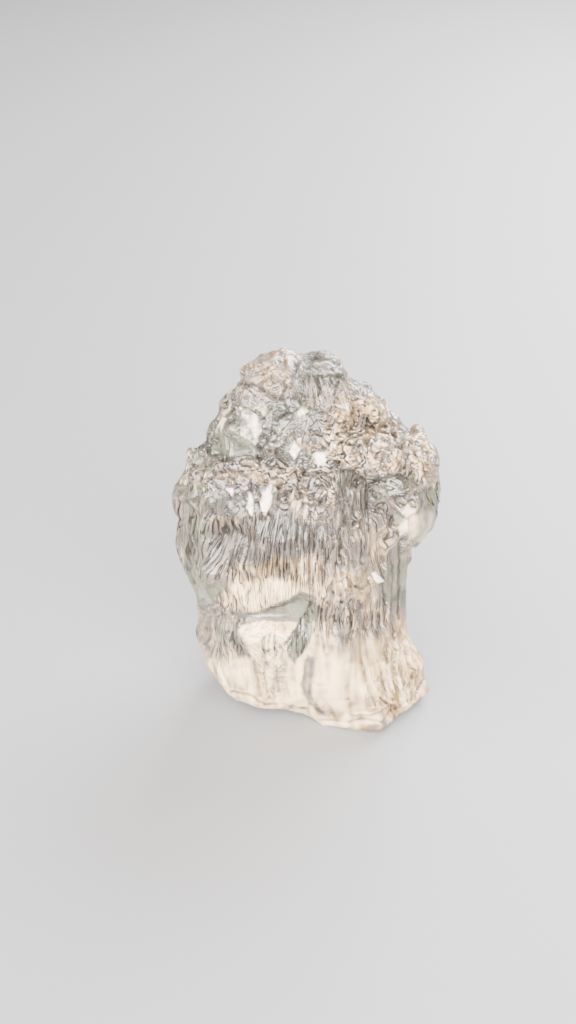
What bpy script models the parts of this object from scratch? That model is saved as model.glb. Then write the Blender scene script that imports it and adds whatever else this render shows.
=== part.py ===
"""A rough phenakite crystal, standing on its broken base.

The stone is one single crystal: a squat hexagonal prism that grew in steps. Each
step is a stack of levels, and a level says how far the six prism faces stand from
the stack's own axis. The stacks are melted into one body, hollows are cut out of
it, and its skin is then carved with the growth ridges that run along the crystal's
long axis, the etched grain of the upper steps, and a few grooves.

The stone is modelled in millimetres and brought to metres at the end. +Z is up,
the crystal's long axis is upright, and -Y is the side towards the viewer.
"""

import math
from collections import namedtuple

import bmesh
import bpy
from mathutils import Vector, noise

NAME = "phenakite_crystal"
HEIGHT = 26.9
METRES_PER_MM = 0.001

# The six prism faces look out every sixty degrees, the first one this far round from +X.
FACE_COUNT = 6
FACE_TURN = math.tau / FACE_COUNT
PRISM_TURN = math.radians(20.0)

# The melted body, the carved skin, and what is kept of it.
MELT_SIZE = 0.34
SKIN_SIZE = 0.24
SKIN_SOFTENING = 0.35
MOST_TRIANGLES = 8800
BASE_CUT = 0.25
WELD = 0.001

# A level has its height, how far it rises for each millimetre of x, and how far each of
# the six faces stands from the stack's axis.
Level = namedtuple(
    "Level", "height lean right back_right back_left left front_left front_right"
)
Stack = namedtuple("Stack", "x y levels")
Groove = namedtuple("Groove", "points width depth")

# The main trunk, from the broken base to the shoulder under the knob. Two levels at
# nearly one height make a ledge.
TRUNK = Stack(
    0.0,
    0.0,
    (
        Level(0.0, 0.0, 7.2, 5.2, 4.9, 4.2, 2.2, 5.4),
        Level(1.0, -0.2, 7.8, 5.8, 6.2, 5.9, 4.6, 5.9),
        Level(2.4, -0.2, 7.6, 6.2, 6.6, 6.6, 5.3, 6.0),
        Level(4.6, -0.05, 7.1, 6.3, 6.7, 6.6, 5.7, 5.8),
        Level(8.8, 0.12, 6.8, 6.4, 7.1, 6.9, 5.9, 5.7),
        Level(9.3, 0.12, 6.8, 6.3, 7.1, 6.9, 5.2, 5.6),
        Level(13.4, 0.05, 6.8, 6.3, 8.1, 8.1, 5.4, 5.5),
        Level(16.0, 0.05, 6.8, 6.1, 8.1, 8.1, 5.0, 5.1),
        Level(20.3, 0.08, 6.7, 5.6, 7.4, 7.4, 4.3, 4.7),
        Level(20.7, 0.08, 6.6, 5.3, 6.6, 6.3, 3.1, 4.4),
        Level(22.3, 0.0, 6.0, 4.6, 5.8, 5.3, 2.6, 3.9),
        Level(24.3, 0.0, 4.2, 3.6, 4.7, 4.3, 2.0, 3.0),
        Level(25.4, 0.0, 3.2, 2.8, 3.9, 3.4, 1.5, 2.2),
    ),
)

# The knob on the top is two blunt tips side by side.
LEFT_TIP = Stack(
    -2.2,
    0.4,
    (
        Level(23.6, 0.0, 2.3, 2.3, 2.4, 2.5, 2.0, 2.1),
        Level(25.8, 0.0, 2.3, 2.3, 2.4, 2.5, 1.9, 2.1),
        Level(26.9, 0.0, 1.9, 1.8, 1.8, 1.9, 1.5, 1.8),
        Level(27.6, 0.0, 0.9, 0.9, 0.9, 0.9, 0.8, 0.9),
    ),
)
RIGHT_TIP = Stack(
    1.0,
    0.5,
    (
        Level(23.6, 0.0, 1.8, 2.0, 2.4, 2.6, 2.0, 1.8),
        Level(26.1, 0.0, 1.7, 1.9, 2.4, 2.6, 2.0, 1.7),
        Level(27.0, 0.0, 1.4, 1.5, 2.2, 2.6, 1.6, 1.4),
    ),
)

# The shoulder that hangs over the flat prism face on the right. Its crust ends in a
# ledge above a smooth face.
SHOULDER = Stack(
    6.8,
    0.2,
    (
        Level(13.4, 0.0, 1.7, 2.1, 2.4, 1.6, 1.9, 1.7),
        Level(13.9, 0.0, 2.0, 2.5, 2.8, 1.8, 2.4, 2.0),
        Level(15.0, 0.0, 2.1, 3.0, 3.2, 2.0, 2.6, 2.1),
        Level(18.4, 0.0, 2.1, 3.2, 3.2, 2.2, 2.6, 2.1),
        Level(18.8, 0.0, 2.3, 3.3, 3.3, 2.4, 3.3, 2.6),
        Level(20.2, 0.0, 2.0, 2.8, 3.0, 2.2, 3.0, 2.3),
        Level(21.6, 0.0, 1.3, 1.4, 1.6, 1.1, 1.4, 1.3),
    ),
)

# The brow over the hollow on the front right face, and the foot that the stone
# stands on below it.
BROW = Stack(
    3.8,
    -1.8,
    (
        Level(20.5, 0.0, 2.6, 2.4, 2.4, 2.3, 2.4, 2.4),
        Level(21.3, 0.0, 2.5, 2.4, 2.4, 2.4, 2.2, 2.3),
        Level(22.6, 0.0, 1.6, 1.8, 2.0, 2.0, 1.2, 1.4),
    ),
)
FOOT = Stack(
    4.4,
    -1.9,
    (
        Level(0.0, 0.0, 3.8, 3.0, 3.0, 4.2, 3.7, 2.8),
        Level(0.9, 0.0, 4.5, 3.2, 3.2, 4.5, 3.9, 3.6),
        Level(3.0, 0.0, 3.8, 3.1, 3.2, 3.4, 3.6, 2.6),
        Level(6.0, 0.0, 2.6, 2.8, 3.0, 3.0, 3.0, 1.0),
    ),
)
MASSES = (TRUNK, LEFT_TIP, RIGHT_TIP, SHOULDER, BROW, FOOT)

# What is cut away: the hollow under the brow, a conchoidal break at the back, and a
# notch at the back left.
HOLLOW = Stack(
    5.4,
    -3.9,
    (
        Level(11.0, 0.0, 1.4, 1.4, 1.1, 1.4, 1.4, 1.4),
        Level(17.5, 0.0, 2.2, 2.2, 2.3, 2.4, 2.2, 2.2),
        Level(20.6, 0.0, 2.2, 2.2, 2.7, 2.6, 2.4, 2.2),
    ),
)
BACK_BREAK = Stack(
    3.4,
    8.4,
    (
        Level(2.0, 0.0, 2.2, 2.0, 2.0, 2.2, 1.4, 1.4),
        Level(7.0, 0.0, 3.8, 3.0, 3.0, 3.8, 3.0, 3.0),
        Level(12.5, 0.0, 3.4, 3.0, 3.0, 3.2, 2.4, 2.5),
        Level(15.0, 0.0, 1.6, 2.0, 2.0, 1.6, 1.0, 1.1),
    ),
)
BACK_NOTCH = Stack(
    -8.4,
    7.2,
    (
        Level(9.8, 0.0, 2.4, 3.0, 3.0, 2.4, 2.6, 3.2),
        Level(15.8, 0.0, 2.6, 3.0, 3.0, 2.6, 2.8, 3.5),
        Level(21.5, 0.0, 2.4, 3.0, 3.0, 2.4, 2.6, 3.8),
    ),
)
HOLLOWS = (HOLLOW, BACK_BREAK, BACK_NOTCH)

# Grooves on the side towards the viewer, as points of (x, z) that each one runs through.
GROOVES = (
    Groove(((-1.6, 9.6), (0.2, 6.6), (0.6, 3.4), (2.0, 0.9)), 0.55, 0.5),
    Groove(((1.9, 9.4), (1.3, 6.8), (0.6, 3.4)), 0.45, 0.4),
    Groove(((-4.6, 8.6), (-3.4, 4.6), (-2.6, 2.4)), 0.5, 0.3),
    Groove(((0.6, 19.0), (1.0, 14.0), (1.2, 10.0)), 0.4, 0.35),
    Groove(((2.2, 18.6), (2.4, 13.6), (2.2, 11.0)), 0.4, 0.35),
)

# The skin. Broad lumps, flat facets that lean to the prism directions, growth ridges that
# run along Z, and the rough grain of the etched crust on the upper steps.
LUMP_SPAN = 4.2
LUMP_HEIGHT = 0.35
FACET_SPAN = 2.3
FACET_HEIGHT = 0.45
FACET_TURN_DRAW = 7.3
FACET_TILT_DRAW = 3.1
RIDGE_SPAN = 1.15
RIDGE_STRETCH = 6.5
RIDGE_HEIGHT = 0.26
RIDGE_SHARE_IN_CRUST = 0.4
GRAIN_SPAN = 1.25
GRAIN_HEIGHT = 0.42
CRUST_FROM = 15.0
CRUST_FULL = 20.5

# The foot of the stone is smoother than its middle: the facets fade down to this
# share of their height.
SMOOTH_BELOW = 5.0
CRISP_ABOVE = 11.0
SMOOTH_SHARE = 0.3

# The base keeps its outline up to this height. The prism face on the right keeps its
# plane between these two, where its normal has this much of +X or more.
CALM_BELOW = 1.2
PLANE_FROM = 3.2
PLANE_TO = 12.4
PLANE_FADE = 1.0
PLANE_EDGE_NORMAL = 0.84
PLANE_FULL_NORMAL = 0.93

# Grooves are cut only where the normal has this much of -Y or more.
FRONT_NORMAL = 0.2


def clear_scene():
    """Removes every object of the scene that the script runs in."""
    for obj in list(bpy.data.objects):
        bpy.data.objects.remove(obj)


def blend(low, high, value):
    """Rises smoothly from 0 at low to 1 at high."""
    share = min(max((value - low) / (high - low), 0.0), 1.0)
    return share * share * (3.0 - 2.0 * share)


def mix(low, high, share):
    """Returns what lies this share of the way from low to high."""
    return low + (high - low) * share


def face_normal(face):
    """Returns the direction in which one of the six prism faces looks out."""
    turn = PRISM_TURN + face * FACE_TURN
    return Vector((math.cos(turn), math.sin(turn)))


def ring_corners(stack, level):
    """Returns the six corners where neighbouring prism faces meet at one level."""
    reach = level[2:]
    corners = []
    for face in range(FACE_COUNT):
        here, after = face_normal(face), face_normal(face + 1)
        near, far = reach[face], reach[(face + 1) % FACE_COUNT]
        spread = here.cross(after)
        x = stack.x + (near * after.y - far * here.y) / spread
        y = stack.y + (far * here.x - near * after.x) / spread
        corners.append(Vector((x, y, level.height + level.lean * x)))
    return corners


def raised_ring(bm, ring, corners):
    """Extrudes a ring of vertices to the next level's corners and returns the new ring."""
    edges = [bm.edges.get((ring[i - 1], ring[i])) for i in range(FACE_COUNT)]
    made = bmesh.ops.extrude_edge_only(bm, edges=edges)["geom"]
    fresh = {v for v in made if isinstance(v, bmesh.types.BMVert)}
    upper = []
    for vert, corner in zip(ring, corners, strict=True):
        above = next(e.other_vert(vert) for e in vert.link_edges if e.other_vert(vert) in fresh)
        above.co = corner
        upper.append(above)
    return upper


def add_stack(bm, stack):
    """Adds one closed stack of levels to the bmesh."""
    ring = [bm.verts.new(corner) for corner in ring_corners(stack, stack.levels[0])]
    bm.faces.new(ring[::-1])
    for level in stack.levels[1:]:
        ring = raised_ring(bm, ring, ring_corners(stack, level))
    bm.faces.new(ring)


def stacks_object(name, stacks):
    """Makes an object that holds each of the stacks as its own closed shell."""
    mesh = bpy.data.meshes.new(name)
    bm = bmesh.new()
    for stack in stacks:
        add_stack(bm, stack)
    bmesh.ops.recalc_face_normals(bm, faces=bm.faces)
    bm.to_mesh(mesh)
    bm.free()
    obj = bpy.data.objects.new(name, mesh)
    bpy.context.scene.collection.objects.link(obj)
    return obj


def melt(obj, size):
    """Joins all that the object holds into one skin of even quads."""
    remesh = obj.modifiers.new("melt", "REMESH")
    remesh.mode = "VOXEL"
    remesh.voxel_size = size


def cut(obj, cutter):
    """Takes the cutter's shape away from the object."""
    cutter.hide_render = True
    cutter.display_type = "WIRE"
    boolean = obj.modifiers.new("cut", "BOOLEAN")
    boolean.operation = "DIFFERENCE"
    boolean.object = cutter


def settle(obj):
    """Makes the object's modifiers part of its mesh."""
    graph = bpy.context.evaluated_depsgraph_get()
    settled = bpy.data.meshes.new_from_object(obj.evaluated_get(graph))
    obj.modifiers.clear()
    obj.data = settled


def distance_to_line(x, z, points):
    """Returns how far (x, z) is from a line of points."""
    here = Vector((x, z))
    nearest = math.inf
    for start, end in zip(points, points[1:]):
        start, end = Vector(start), Vector(end)
        along = end - start
        share = min(max((here - start).dot(along) / along.length_squared, 0.0), 1.0)
        nearest = min(nearest, (here - start - along * share).length)
    return nearest


def facets(point):
    """Returns the height of flat facets, one in each cell, that lean to a prism direction."""
    place = point / FACET_SPAN
    centre = noise.voronoi(place)[1][0]
    outward = face_normal(round(FACE_COUNT * noise.cell(centre * FACET_TURN_DRAW)))
    upward = noise.cell(centre * FACET_TILT_DRAW) - 0.5
    return (place - centre).dot((outward.x, outward.y, upward))


def ridges(point):
    """Returns the height of the growth ridges, whose crests run along Z."""
    place = Vector((point.x, point.y, point.z / RIDGE_STRETCH)) / RIDGE_SPAN
    return 1.0 - 4.0 * abs(noise.noise(place))


def grain(point):
    """Returns the height of the etched grain: blunt cones with creases between them."""
    nearest = noise.voronoi(point / GRAIN_SPAN)[0][0]
    return 0.5 - nearest


def groove_depth(point, normal):
    """Returns how deep the grooves cut at a point of the side towards the viewer."""
    if normal.y > -FRONT_NORMAL:
        return 0.0
    depth = 0.0
    for groove in GROOVES:
        away = distance_to_line(point.x, point.z, groove.points)
        depth = max(depth, groove.depth * (1.0 - blend(0.0, groove.width, away)))
    return depth


def on_plane(point, normal):
    """Returns 1 on the flat prism face on the right and 0 away from it."""
    above = blend(PLANE_FROM - PLANE_FADE, PLANE_FROM, point.z)
    below = 1.0 - blend(PLANE_TO - PLANE_FADE, PLANE_TO, point.z)
    return above * below * blend(PLANE_EDGE_NORMAL, PLANE_FULL_NORMAL, normal.x)


def skin_height(point, normal):
    """Returns how far the carved skin stands out from the melted body at a point."""
    crust = blend(CRUST_FROM, CRUST_FULL, point.z)
    crisp = mix(SMOOTH_SHARE, 1.0, blend(SMOOTH_BELOW, CRISP_ABOVE, point.z))
    upright = (1.0 - abs(normal.z)) * mix(1.0, RIDGE_SHARE_IN_CRUST, crust)
    height = LUMP_HEIGHT * noise.noise(point / LUMP_SPAN)
    height += FACET_HEIGHT * facets(point) * crisp
    height += RIDGE_HEIGHT * ridges(point) * upright
    height += GRAIN_HEIGHT * grain(point) * crust
    height *= blend(0.0, CALM_BELOW, point.z) * (1.0 - on_plane(point, normal))
    return height - groove_depth(point, normal)


def carve(obj):
    """Moves each point of the skin along its normal by the skin's height there."""
    bm = bmesh.new()
    bm.from_mesh(obj.data)
    bm.normal_update()
    moves = [(v, v.normal * skin_height(v.co, v.normal)) for v in bm.verts]
    for vert, move in moves:
        vert.co += move
    bmesh.ops.smooth_vert(
        bm,
        verts=bm.verts,
        factor=SKIN_SOFTENING,
        use_axis_x=True,
        use_axis_y=True,
        use_axis_z=True,
    )
    bm.to_mesh(obj.data)
    bm.free()


def thin_out(obj):
    """Keeps the largest flat faces and drops the small ones, down to MOST_TRIANGLES."""
    triangles = 2 * len(obj.data.polygons)
    decimate = obj.modifiers.new("thin", "DECIMATE")
    decimate.decimate_type = "COLLAPSE"
    decimate.ratio = MOST_TRIANGLES / triangles
    decimate.use_collapse_triangulate = True


def stand_flat(obj):
    """Cuts the base flat, stands it on Z 0 over the origin and brings it to metres."""
    bm = bmesh.new()
    bm.from_mesh(obj.data)
    cut_made = bmesh.ops.bisect_plane(
        bm,
        geom=bm.verts[:] + bm.edges[:] + bm.faces[:],
        dist=WELD,
        plane_co=(0.0, 0.0, BASE_CUT),
        plane_no=(0.0, 0.0, 1.0),
        clear_inner=True,
    )["geom_cut"]
    rim = [e for e in cut_made if isinstance(e, bmesh.types.BMEdge)]
    bmesh.ops.holes_fill(bm, edges=rim, sides=0)
    bmesh.ops.recalc_face_normals(bm, faces=bm.faces)
    xs, ys, zs = zip(*(v.co for v in bm.verts))
    foot = Vector(((min(xs) + max(xs)) / 2, (min(ys) + max(ys)) / 2, min(zs)))
    stretch = HEIGHT / (max(zs) - min(zs))
    bmesh.ops.translate(bm, verts=bm.verts, vec=-foot)
    bmesh.ops.scale(
        bm, verts=bm.verts, vec=(METRES_PER_MM, METRES_PER_MM, METRES_PER_MM * stretch)
    )
    bm.to_mesh(obj.data)
    bm.free()


def crystal_material():
    """Makes the stone's clear, faintly warm material."""
    material = bpy.data.materials.new("clear_phenakite")
    material.use_nodes = True
    shader = material.node_tree.nodes["Principled BSDF"]
    shader.inputs["Base Color"].default_value = (0.86, 0.82, 0.76, 1.0)
    shader.inputs["Roughness"].default_value = 0.25
    shader.inputs["Metallic"].default_value = 0.0
    shader.inputs["Transmission Weight"].default_value = 0.8
    shader.inputs["IOR"].default_value = 1.65
    return material


def make_crystal():
    """Builds the whole stone and returns its object."""
    clear_scene()
    stone = stacks_object(NAME, MASSES)
    cutter = stacks_object("hollows", HOLLOWS)
    melt(stone, MELT_SIZE)
    cut(stone, cutter)
    melt(stone, SKIN_SIZE)
    settle(stone)
    bpy.data.objects.remove(cutter)
    carve(stone)
    thin_out(stone)
    settle(stone)
    stand_flat(stone)
    stone.data.materials.clear()
    stone.data.materials.append(crystal_material())
    return stone


make_crystal()
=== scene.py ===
"""Dresses a rough phenakite crystal and sets it in a plain, softly lit studio.

The stone's solid comes from the frame. Its looks are a finer skin on the same form,
carved with the ledges, chips, grooves, growth lines and etch pits of the real stone,
and a body that is clear in some places and milky in others.

Sizes are in millimetres, and are brought to metres where a mesh or an object is made.
Places on the side towards the viewer are given as they are seen: millimetres across
from the stone's axis, and millimetres up from its lowest point in view.
"""

import logging
import math
from collections.abc import Callable, Sequence
from dataclasses import dataclass
from enum import Enum
from functools import cached_property, partialmethod

import bmesh
import bpy
import numpy as np
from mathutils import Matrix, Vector, noise


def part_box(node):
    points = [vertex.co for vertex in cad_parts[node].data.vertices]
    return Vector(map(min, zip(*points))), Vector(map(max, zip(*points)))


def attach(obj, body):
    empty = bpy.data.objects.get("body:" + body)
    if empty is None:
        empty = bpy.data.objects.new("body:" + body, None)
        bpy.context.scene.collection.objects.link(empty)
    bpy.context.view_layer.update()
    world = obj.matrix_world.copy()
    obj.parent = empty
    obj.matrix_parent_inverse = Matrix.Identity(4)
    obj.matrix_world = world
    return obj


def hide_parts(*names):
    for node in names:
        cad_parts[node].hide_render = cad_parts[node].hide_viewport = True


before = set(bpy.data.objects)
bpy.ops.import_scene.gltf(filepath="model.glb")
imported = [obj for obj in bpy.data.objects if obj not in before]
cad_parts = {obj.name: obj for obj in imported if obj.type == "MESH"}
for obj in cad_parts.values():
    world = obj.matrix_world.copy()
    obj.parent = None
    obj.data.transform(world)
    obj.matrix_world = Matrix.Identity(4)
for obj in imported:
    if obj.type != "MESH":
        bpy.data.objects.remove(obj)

LOG = logging.getLogger("phenakite")
METRES_PER_MM = 0.001
STONE_NODE = "phenakite_crystal"
STONE_SLOT = "clear_phenakite"
UNROLLING_RADIUS = 7.4

Place = tuple[float, float]
Range = tuple[float, float]
Triple = tuple[float, float, float]
Colour = tuple[float, float, float, float]

# Over what range the skin counts as facing the viewer, a chip's edge fades in, the painted
# shade in a line's bottom and a ledge's painted shadow fade out, and that shadow fades in past
# the edge. A ridge has painted shade at its foot, which is a share of its width away.
FACING: Range = (0.0, 0.25)
CHIP_EDGE: Range = (-0.06, 0.06)
LINE_DARK: Range = (0.04, 0.14)
LEDGE_DARK: Range = (0.1, 0.6)
LEDGE_EDGE: Range = (0.0, 0.12)
RIDGE_FOOT = 0.6


def smooth_rise(low: float, high: float, value: np.ndarray) -> np.ndarray:
    """Rises smoothly from 0 at low to 1 at high."""
    share = np.clip((value - low) / (high - low), 0.0, 1.0)
    return share * share * (3.0 - 2.0 * share)


def smooth_fall(low: float, high: float, value: np.ndarray) -> np.ndarray:
    """Falls smoothly from 1 at low to 0 at high."""
    return 1.0 - smooth_rise(low, high, value)


def noise_at(points: np.ndarray, span: float | Triple, draw: float = 0.0) -> np.ndarray:
    """Returns soft noise between about -1 and 1.

    Args:
        points: One row of x, y and z for each point.
        span: The size of a lump, one number or one for each axis.
        draw: A shift that gives another draw of the same noise.

    Returns:
        One number for each point.
    """
    places = (points / np.array(span) + draw).tolist()
    return np.array([noise.noise(place) for place in places])


def cells_at(points: np.ndarray, span: float | Triple, draw: float) -> tuple[np.ndarray, ...]:
    """Splits space into cells.

    Args:
        points: One row of x, y and z for each point.
        span: The size of a cell, one number or one for each axis.
        draw: A shift that gives another draw of the same cells.

    Returns:
        The distance to the nearest cell centre, the distance to the next one, and the
        nearest centre, all in spans.
    """
    found = [noise.voronoi(place) for place in (points / np.array(span) + draw).tolist()]
    near = np.array([distances[0] for distances, _ in found])
    following = np.array([distances[1] for distances, _ in found])
    centres = np.array([spots[0] for _, spots in found])
    return near, following, centres


def away_from_line(seen: np.ndarray, points: Sequence[Place]) -> tuple[np.ndarray, np.ndarray]:
    """Measures from seen places to a line of points.

    Args:
        seen: One row of across and up for each place.
        points: The points that the line runs through.

    Returns:
        The distance to the line, and the side: positive on the left of its direction.
    """
    nearest = np.full(len(seen), np.inf)
    side = np.zeros(len(seen))
    for start, end in zip(points, points[1:]):
        start, along = np.array(start), np.subtract(end, start)
        from_start = seen - start
        share = np.clip(from_start @ along / (along @ along), 0.0, 1.0)
        away = from_start - share[:, None] * along
        distance = np.hypot(away[:, 0], away[:, 1])
        closer = distance < nearest
        nearest[closer] = distance[closer]
        side[closer] = (along[0] * from_start[:, 1] - along[1] * from_start[:, 0])[closer]
    return nearest, np.sign(side)


@dataclass(frozen=True)
class Mottle:
    """Soft noise of a set strength.

    Attributes:
        amount: How far it goes either way.
        span: The size of a lump, one number or one for each axis.
        draws: The draws of the noise, one for each column that is made.
    """

    amount: float
    span: float | Triple
    draws: tuple[float, ...] = (0.0,)

    def moves(self, points: np.ndarray) -> np.ndarray:
        """Returns one column of noise for each draw."""
        return self.amount * np.stack([noise_at(points, self.span, d) for d in self.draws], axis=1)

    def level(self, points: np.ndarray) -> np.ndarray:
        """Returns one number of noise for each point."""
        return self.moves(points)[:, 0]


@dataclass(frozen=True)
class Sight:
    """The line of sight from which the stone is seen.

    Attributes:
        elevation: How far above the horizon the eye is, in degrees.
        distance: How far the eye is from the point that it looks at.
        aim: The point that it looks at.
        aim_up: How far up from the stone's lowest point in view that point is seen.
    """

    elevation: float = 33.0
    distance: float = 117.7
    aim: Triple = (-1.3, 0.0, 14.5)
    aim_up: float = 15.6

    @property
    def back(self) -> Vector:
        """Returns the direction from the stone to the eye."""
        rise = math.radians(self.elevation)
        return Vector((0.0, -math.cos(rise), math.sin(rise)))

    @property
    def up(self) -> Vector:
        """Returns the direction that is seen as straight up."""
        rise = math.radians(self.elevation)
        return Vector((0.0, math.sin(rise), math.cos(rise)))

    @property
    def eye(self) -> Vector:
        """Returns where the eye is."""
        return Vector(self.aim) + self.back * self.distance

    def seen(self, points: np.ndarray) -> np.ndarray:
        """Works out where points are seen.

        Args:
            points: One row of x, y and z for each point.

        Returns:
            One row of across and up for each point.
        """
        away = points - np.array(self.aim)
        nearer = self.distance / (self.distance - away @ np.array(self.back))
        across = self.aim[0] + away[:, 0] * nearer
        up = self.aim_up + (away @ np.array(self.up)) * nearer
        return np.stack((across, up), axis=1)


SIGHT = Sight()

# What keeps the outlines of cut forms, facets and zones from being too regular.
BROAD_WAVER = Mottle(0.1, 0.9, (2.6, 8.1))
FINE_WAVER = Mottle(0.05, 0.33, (4.6, 6.1))
FACET_WAVER = Mottle(0.16, 0.8, (3.3, 6.6, 9.9))
ZONE_WAVER = Mottle(0.6, 1.6, (2.0, 9.0))

# What each cell draws by its centre: how deep its pit is, how light its facet is painted,
# a painted light of its own, and how it leans.
PIT_DEPTH = Mottle(1.0, 0.21, (3.0,))
PAINTED_FACET_LIGHT = Mottle(2.2, 0.19, (2.5,))
FACET_TURN = Mottle(2.0, 0.13)
FACET_TILT = Mottle(1.0, 0.17, (5.0,))


@dataclass
class Skin:
    """The points of the stone's surface while it is carved.

    Attributes:
        points: One row of x, y and z for each point, in millimetres.
        normals: The direction that the surface faces at each point.
        edges: The two points that each edge joins.
    """

    points: np.ndarray
    normals: np.ndarray
    edges: np.ndarray

    @classmethod
    def of(cls, mesh: bpy.types.Mesh) -> "Skin":
        """Reads the skin from a mesh in metres."""
        points = np.empty(len(mesh.vertices) * 3)
        mesh.vertices.foreach_get("co", points)
        normals = np.empty(len(mesh.vertices) * 3)
        mesh.vertices.foreach_get("normal", normals)
        edges = np.empty(len(mesh.edges) * 2, dtype=np.int64)
        mesh.edges.foreach_get("vertices", edges)
        points = points.reshape(-1, 3) / METRES_PER_MM
        return cls(points, normals.reshape(-1, 3), edges.reshape(-1, 2))

    @cached_property
    def seen(self) -> np.ndarray:
        """Returns where each point is seen from the front."""
        return SIGHT.seen(self.points)

    @cached_property
    def wavered(self) -> np.ndarray:
        """Returns where each point is seen, moved a little so that cut forms aren't straight."""
        return self.seen + BROAD_WAVER.moves(self.points) + FINE_WAVER.moves(self.points)

    @cached_property
    def unrolled(self) -> np.ndarray:
        """Returns each point's place on the skin as if it were unrolled round the axis."""
        turn = np.arctan2(self.points[:, 0], -self.points[:, 1])
        return np.stack((turn * UNROLLING_RADIUS, turn * 0.0, self.points[:, 2]), axis=1)

    @cached_property
    def wandered(self) -> np.ndarray:
        """Returns each point moved a little so that the facets' edges aren't straight."""
        return self.points + FACET_WAVER.moves(self.points)

    @cached_property
    def facing(self) -> np.ndarray:
        """Returns 1 where the skin faces the viewer and 0 where it faces away."""
        return smooth_rise(*FACING, self.normals @ np.array(SIGHT.back))

    def write(self, mesh: bpy.types.Mesh) -> None:
        """Gives the mesh the skin's points."""
        mesh.vertices.foreach_set("co", (self.points * METRES_PER_MM).ravel())
        mesh.update()

    def around(self, values: np.ndarray) -> np.ndarray:
        """Returns the mean of the neighbours' rows at each point."""
        total = np.zeros_like(values)
        count = np.zeros(len(self.points))
        for here, there in (self.edges.T, self.edges.T[::-1]):
            np.add.at(total, here, values[there])
            np.add.at(count, here, 1.0)
        return total / np.maximum(count, 1.0)[:, None]

    def softened(self, rounds: int, share: float = 0.5) -> np.ndarray:
        """Evens the skin out.

        Args:
            rounds: How often each point is drawn towards its neighbours.
            share: How far it is drawn each time.

        Returns:
            The evened points.
        """
        points = self.points
        for _ in range(rounds):
            points = points + (self.around(points) - points) * share
        return points


@dataclass(frozen=True)
class Patch:
    """An oval part of the side towards the viewer.

    Attributes:
        centre: Where its middle is seen.
        reach: Its half widths across and up.
        turn: How far it is turned anticlockwise, in degrees.
        soft: The share of its reach over which it fades out.
    """

    centre: Place
    reach: Place
    turn: float = 0.0
    soft: float = 0.4

    def share(self, seen: np.ndarray) -> np.ndarray:
        """Returns 1 inside the patch and 0 outside it."""
        angle = math.radians(self.turn)
        across, up = (seen - np.array(self.centre)).T
        along = across * math.cos(angle) + up * math.sin(angle)
        over = up * math.cos(angle) - across * math.sin(angle)
        ratio = np.hypot(along / self.reach[0], over / self.reach[1])
        return smooth_fall(1.0 - self.soft, 1.0 + self.soft, ratio)


@dataclass(frozen=True)
class Area:
    """A part of the side towards the viewer with a cornered outline.

    Attributes:
        corners: The corners of its outline.
        soft: How far from its outline it fades in and out.
    """

    corners: tuple[Place, ...]
    soft: float = 0.12

    def share(self, seen: np.ndarray) -> np.ndarray:
        """Returns 1 inside the area and 0 outside it."""
        following = self.corners[1:] + self.corners[:1]
        away, _ = away_from_line(seen, self.corners + self.corners[:1])
        across, up = seen.T
        inside = np.zeros(len(seen), dtype=bool)
        for (x, y), (next_x, next_y) in zip(self.corners, following):
            if y == next_y:
                continue
            crossing = x + (up - y) * (next_x - x) / (next_y - y)
            inside ^= ((up < y) != (up < next_y)) & (across < crossing)
        return smooth_rise(-self.soft, self.soft, np.where(inside, away, -away))


@dataclass(frozen=True)
class Line:
    """A ridge or a groove that runs through seen points.

    Attributes:
        points: The points that it runs through.
        rise: How far it stands out, or is cut in where it is below 0.
        width: How wide it is at its foot.
    """

    points: tuple[Place, ...]
    rise: float
    width: float = 0.2

    def height(self, skin: Skin) -> np.ndarray:
        """Returns how far the line lifts each point of the skin."""
        away, _ = away_from_line(skin.wavered, self.points)
        return self.rise * smooth_fall(0.0, self.width, away)

    def dark(self, skin: Skin) -> np.ndarray:
        """Returns 1 where painted shade lies, in a groove's bottom or along a ridge's right foot, and 0
        away.
        """
        away, side = away_from_line(skin.wavered, self.points)
        darkest = 0.0 if self.rise < 0.0 else RIDGE_FOOT * self.width
        return smooth_fall(*LINE_DARK, np.abs(-side * away - darkest))


@dataclass(frozen=True)
class Ledge:
    """A step that runs through seen points: the skin drops on its right side.

    Attributes:
        points: The points of its edge.
        drop: How far the skin lies lower just past the edge.
        reach: How far from the edge the drop fades out.
        lip: How far the edge itself stands out.
        lip_width: How wide the edge's own rise is.
        slope: How wide the step down is.
    """

    points: tuple[Place, ...]
    drop: float
    reach: float
    lip: float = 0.08
    lip_width: float = 0.35
    slope: float = 0.2

    def height(self, skin: Skin) -> np.ndarray:
        """Returns how far the ledge lifts each point of the skin."""
        away, side = away_from_line(skin.wavered, self.points)
        lip = self.lip * smooth_fall(0.0, self.lip_width, away)
        drop = self.drop * smooth_fall(0.0, self.reach, away)
        return lip - drop * smooth_rise(0.0, self.slope, -side * away)

    def under(self, skin: Skin) -> np.ndarray:
        """Returns 1 close under the ledge's edge, where its painted shadow lies, and 0 away from it."""
        away, side = away_from_line(skin.wavered, self.points)
        return smooth_fall(*LEDGE_DARK, away) * smooth_rise(*LEDGE_EDGE, -side * away)


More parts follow.
